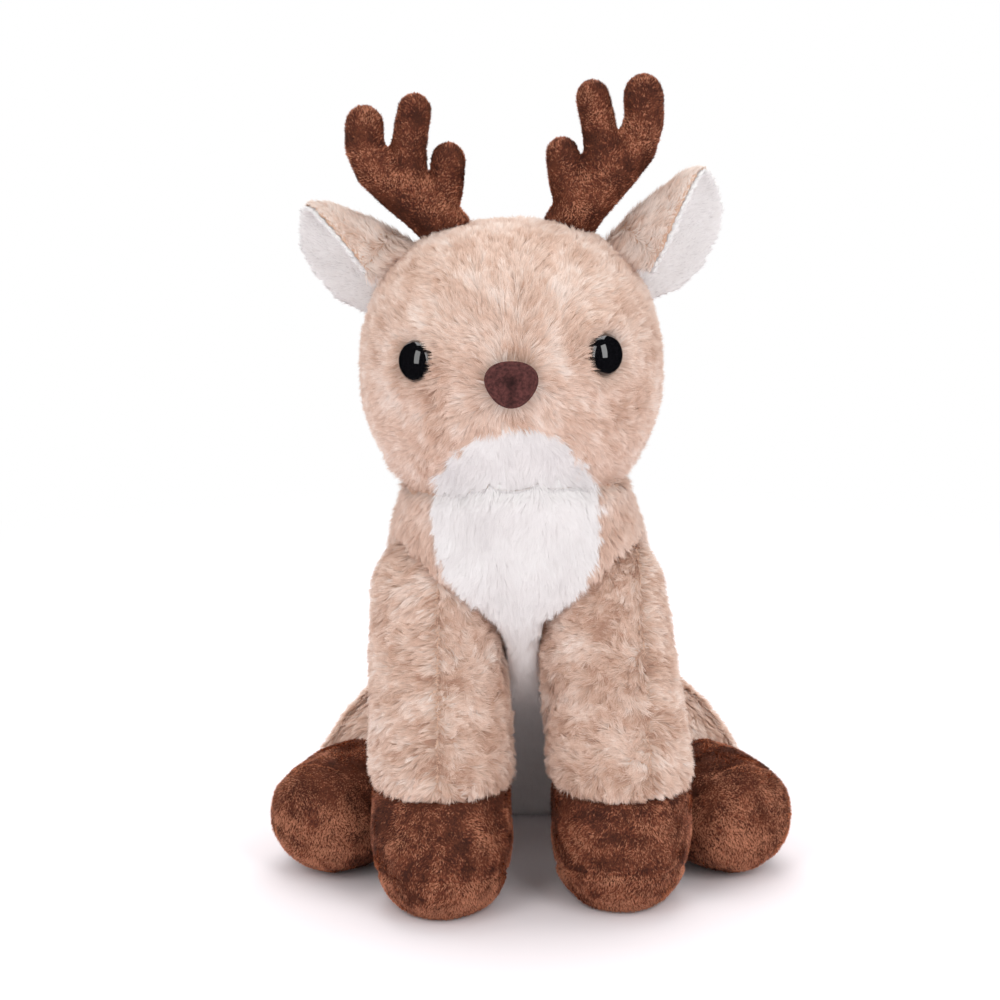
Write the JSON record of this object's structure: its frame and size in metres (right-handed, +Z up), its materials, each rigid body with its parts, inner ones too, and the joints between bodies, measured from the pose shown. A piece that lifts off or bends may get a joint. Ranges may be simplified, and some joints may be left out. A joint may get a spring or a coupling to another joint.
{
  "type": "plush deer",
  "caption": "Seated soft toy deer with folded ears, stuffed antlers, a white bib and short-pile paws, sewn so that its head, legs, ears and tail bend and spring back.",
  "frame": {"origin": "on the flat of the seat, where the torso rests on the floor", "axes": "+Z up, the deer faces -Y, +X to the right in its front view"},
  "size_m": [0.1886, 0.1909, 0.2854],
  "materials": {
    "tan_plush": "long clumpy pile",
    "white_plush": "long clumpy pile",
    "brown_velboa": "short dense pile with a nap",
    "fibre": "loose polyester fibre",
    "pellet_cloth": "plain woven bag",
    "eye_black": "polished",
    "nose_flock": "flocked",
    "washer_plastic": "moulded"
  },
  "bodies": {
    "torso": {"torso_cover": "tan_plush", "bib_panel": "white_plush", "torso_stuffing": "fibre", "pellet_bag": "pellet_cloth"},
    "head": {"head_cover": "tan_plush", "chin_panel": "white_plush", "head_stuffing": "fibre", "nose": "nose_flock", "nose_washer": "washer_plastic", "eye_left": "eye_black", "eye_right": "eye_black", "eye_washer_left": "washer_plastic", "eye_washer_right": "washer_plastic", "antler_front_left": "brown_velboa", "antler_front_right": "brown_velboa", "antler_back_left": "brown_velboa", "antler_back_right": "brown_velboa", "antler_stuffing_left": "fibre", "antler_stuffing_right": "fibre"},
    "ear_left": {"ear_back_left": "tan_plush", "ear_lining_left": "white_plush"},
    "front_leg_left": {"front_leg_cover_left": "tan_plush", "front_paw_upper_left": "brown_velboa", "front_paw_sole_left": "brown_velboa", "front_leg_stuffing_left": "fibre"},
    "hind_leg_left": {"hind_leg_cover_left": "tan_plush", "hind_paw_upper_left": "brown_velboa", "hind_paw_sole_left": "brown_velboa", "hind_leg_stuffing_left": "fibre"},
    "ear_right": {"ear_back_right": "tan_plush", "ear_lining_right": "white_plush"},
    "front_leg_right": {"front_leg_cover_right": "tan_plush", "front_paw_upper_right": "brown_velboa", "front_paw_sole_right": "brown_velboa", "front_leg_stuffing_right": "fibre"},
    "hind_leg_right": {"hind_leg_cover_right": "tan_plush", "hind_paw_upper_right": "brown_velboa", "hind_paw_sole_right": "brown_velboa", "hind_leg_stuffing_right": "fibre"},
    "tail": {"tail_top": "tan_plush", "tail_underside": "white_plush"}
  },
  "joints": [
    {"name": "neck_turn", "type": "hinge", "parent": "torso", "child": "head", "pos_m": [-0.0072, -0.078, 0.183], "axis": [-0.0349, 0, 0.9994], "range_deg": [-30, 30], "stiffness_Nm_per_rad": 0.6},
    {"name": "ear_left_bend", "type": "hinge", "parent": "head", "child": "ear_left", "pos_m": [-0.04486, -0.068, 0.21927], "axis": [-0.4924, 0, -0.8704], "range_deg": [-20, 20], "stiffness_Nm_per_rad": 0.05},
    {"name": "ear_right_bend", "type": "hinge", "parent": "head", "child": "ear_right", "pos_m": [0.03326, -0.068, 0.2232], "axis": [0.7193, 0, -0.6947], "range_deg": [-20, 20], "stiffness_Nm_per_rad": 0.05},
    {"name": "shoulder_left_swing", "type": "hinge", "parent": "torso", "child": "front_leg_left", "pos_m": [-0.0338, -0.084, 0.104], "axis": [-1, 0, 0], "range_deg": [0, 25], "stiffness_Nm_per_rad": 2},
    {"name": "shoulder_right_swing", "type": "hinge", "parent": "torso", "child": "front_leg_right", "pos_m": [0.0242, -0.084, 0.104], "axis": [-1, 0, 0], "range_deg": [0, 25], "stiffness_Nm_per_rad": 2},
    {"name": "hip_left_spread", "type": "hinge", "parent": "torso", "child": "hind_leg_left", "pos_m": [-0.041, -0.03, 0.034], "axis": [0, 0, -1], "range_deg": [0, 20], "stiffness_Nm_per_rad": 1.5},
    {"name": "hip_right_spread", "type": "hinge", "parent": "torso", "child": "hind_leg_right", "pos_m": [0.041, -0.03, 0.034], "axis": [0, 0, 1], "range_deg": [0, 20], "stiffness_Nm_per_rad": 1.5},
    {"name": "tail_lift", "type": "hinge", "parent": "torso", "child": "tail", "pos_m": [0, 0.02236, 0.05], "axis": [1, 0, 0], "range_deg": [0, 20], "stiffness_Nm_per_rad": 0.05}
  ]
}
